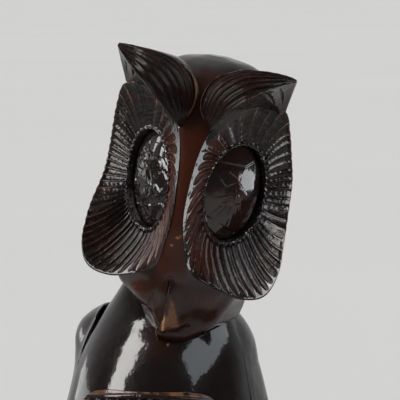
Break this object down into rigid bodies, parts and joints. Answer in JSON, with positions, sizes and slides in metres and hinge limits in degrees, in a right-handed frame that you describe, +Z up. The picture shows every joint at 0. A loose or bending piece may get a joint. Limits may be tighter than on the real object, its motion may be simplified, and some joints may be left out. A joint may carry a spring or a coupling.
{
  "type": "carved wooden owl figurine",
  "caption": "Free-standing carved wooden owl with a tilted head, fluted face discs, domed eyes, swept brow tufts, folded wings and a grooved breast panel, on a round stump with a felt pad.",
  "frame": {"origin": "centre of the felt pad's underside, on the surface that the figurine stands on", "axes": "+Z up, -Y the way the owl's breast faces, +X the owl's left side"},
  "size_m": [0.1196, 0.1025, 0.3419],
  "materials": {
    "felt": "dark green wool felt",
    "stump_wood": "dark lacquered hardwood, gouge-cut sides",
    "dowel_wood": "bare wood, glued in place",
    "carved_wood": "dark lacquered hardwood, crisp carved grooves with worn brown edges",
    "body_wood": "near-black gloss lacquer over smoothed hardwood",
    "head_wood": "deep red-brown gloss lacquer over smoothed hardwood",
    "eye_wood": "thick near-black gloss lacquer on a domed inset"
  },
  "bodies": {
    "root": {"felt_pad": "felt", "stump_base": "stump_wood", "base_dowels": "dowel_wood", "left_foot": "carved_wood", "right_foot": "carved_wood", "torso": "body_wood", "breast_panel": "carved_wood", "left_wing": "body_wood", "right_wing": "body_wood", "tail": "carved_wood", "neck_dowel": "dowel_wood", "head": "head_wood", "left_face_disc": "carved_wood", "right_face_disc": "carved_wood", "left_eye": "eye_wood", "right_eye": "eye_wood", "left_brow_tuft": "carved_wood", "right_brow_tuft": "carved_wood", "beak": "head_wood"}
  },
  "joints": []
}
